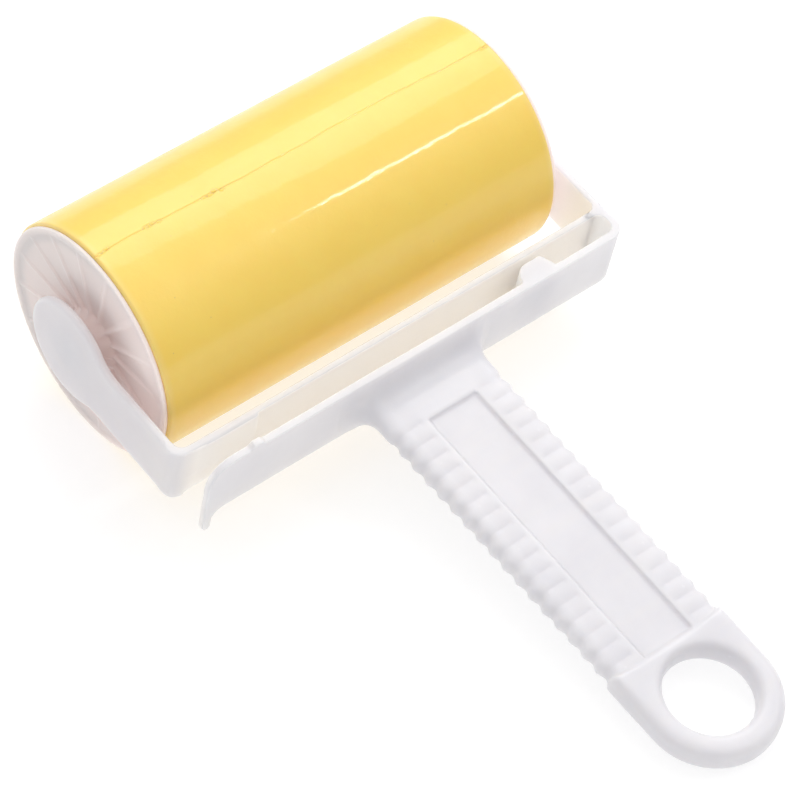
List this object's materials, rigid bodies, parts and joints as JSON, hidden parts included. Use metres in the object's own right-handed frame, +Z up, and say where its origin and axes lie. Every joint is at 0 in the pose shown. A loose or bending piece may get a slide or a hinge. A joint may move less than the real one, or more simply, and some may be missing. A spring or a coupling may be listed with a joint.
{
  "type": "washable lint roller",
  "caption": "Washable lint roller: a sticky gel drum turning between the arms of a sprung plastic yoke with a ribbed handle and a hanging ring.",
  "frame": {"origin": "on the ground below the middle of the box around the whole roller, which lies on its drum and the end of its hanging ring", "axes": "+X along the drum's axis towards the closed end of the yoke, +Y from the hanging ring to the drum, +Z up"},
  "size_m": [0.14, 0.214, 0.065],
  "materials": {
    "frame_plastic": "moulded white, soft gloss",
    "cap_plastic": "moulded off-white, satin",
    "core_plastic": "extruded off-white",
    "sticky_gel": "tacky yellow gel, glossy"
  },
  "bodies": {
    "yoke": {"handle_grip": "frame_plastic", "hang_ring": "frame_plastic", "front_wall": "frame_plastic", "right_arm": "frame_plastic", "right_pivot": "frame_plastic"},
    "leaf": {"spring_bar": "frame_plastic", "left_arm": "frame_plastic", "left_pivot": "frame_plastic"},
    "drum": {"core_tube": "core_plastic", "left_end_cap": "cap_plastic", "right_end_cap": "cap_plastic", "sticky_sleeve": "sticky_gel"}
  },
  "joints": [
    {"name": "yoke_flex", "type": "hinge", "parent": "yoke", "child": "leaf", "pos_m": [0.0672, 0.03224, 0.0243], "axis": [0, -0.1471, 0.9891], "range_deg": [0, 2.2], "stiffness_Nm_per_rad": 0.8, "springref_deg": -5.16},
    {"name": "roller_spin", "type": "hinge", "parent": "leaf", "child": "drum", "pos_m": [0, 0.07449, 0.0325], "axis": [1, 0, 0], "continuous": true}
  ]
}
